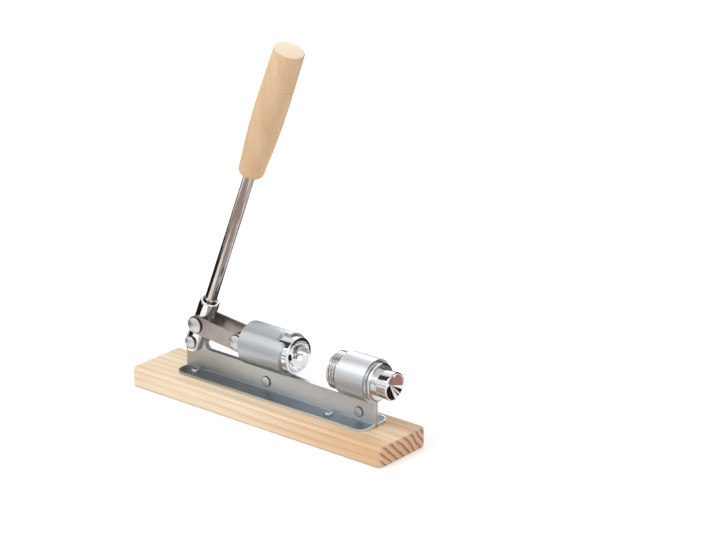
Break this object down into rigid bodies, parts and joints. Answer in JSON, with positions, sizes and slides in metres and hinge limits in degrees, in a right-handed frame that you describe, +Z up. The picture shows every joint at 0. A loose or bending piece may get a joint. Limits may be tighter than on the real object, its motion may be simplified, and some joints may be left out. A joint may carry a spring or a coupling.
{
  "type": "lever nutcracker press",
  "caption": "Bench nutcracker: a long wooden-handled lever pushes a cupped ram through a sleeve towards a screw-adjusted anvil, on a folded sheet frame screwed to a board.",
  "frame": {"origin": "middle of the board's underside", "axes": "+Z up, +X along the board towards the adjuster knob, +Y to the left seen from the lever end"},
  "size_m": [0.2426, 0.053, 0.2883],
  "materials": {
    "pine_board": "planed pine, bare",
    "galvanised_sheet": "matte galvanised sheet",
    "satin_nickel": "satin nickel",
    "polished_chrome": "polished chrome",
    "polished_steel": "polished steel",
    "zinc_steel": "bright zinc plate",
    "beech_grip": "turned beech, smooth"
  },
  "bodies": {
    "root": {"base_board": "pine_board", "press_frame": "galvanised_sheet", "pivot_rivet": "polished_steel", "web_rivet_middle": "satin_nickel", "web_rivet_front": "satin_nickel", "foot_screw_rear_right": "zinc_steel", "foot_screw_rear_left": "zinc_steel", "foot_screw_front_right": "zinc_steel", "foot_screw_front_left": "zinc_steel"},
    "lever": {"lever_clevis": "polished_chrome", "lever_rod": "polished_steel", "lever_grip": "beech_grip", "link_rivet": "polished_steel"},
    "links": {"link_left": "satin_nickel", "link_right": "satin_nickel", "ram_rivet": "polished_steel"},
    "ram": {"ram": "polished_chrome"},
    "adjuster": {"adjuster_stud": "zinc_steel"},
    "anvil": {"anvil_barrel": "polished_steel", "adjuster_knob": "polished_chrome"}
  },
  "joints": [
    {"name": "lever_swing", "type": "hinge", "parent": "root", "child": "lever", "pos_m": [-0.079, 0.0025, 0.04], "axis": [0, 1, 0], "range_deg": [-30, 35]},
    {"name": "link_swing", "type": "hinge", "parent": "lever", "child": "links", "pos_m": [-0.07284, 0.0025, 0.05606], "axis": [0, 1, 0], "range_deg": [-40.55, 34.76]},
    {"name": "ram_slide", "type": "slide", "parent": "root", "child": "ram", "axis": [1, 0, 0], "range_m": [-0.00814, 0.0095]},
    {"name": "anvil_travel", "type": "slide", "parent": "root", "child": "adjuster", "axis": [1, 0, 0], "range_m": [-0.0075, 0.005]},
    {"name": "knob_turn", "type": "hinge", "parent": "adjuster", "child": "anvil", "pos_m": [0.0995, 0.0025, 0.052], "axis": [1, 0, 0], "range_deg": [-1080.5, 720.5]}
  ],
  "couplings": [
    {"joint": "link_swing", "follows": "lever_swing", "ratio": -1.157},
    {"joint": "ram_slide", "follows": "lever_swing", "m_per_rad": 0.015533},
    {"joint": "knob_turn", "follows": "anvil_travel", "rad_per_m": 2513.3}
  ]
}
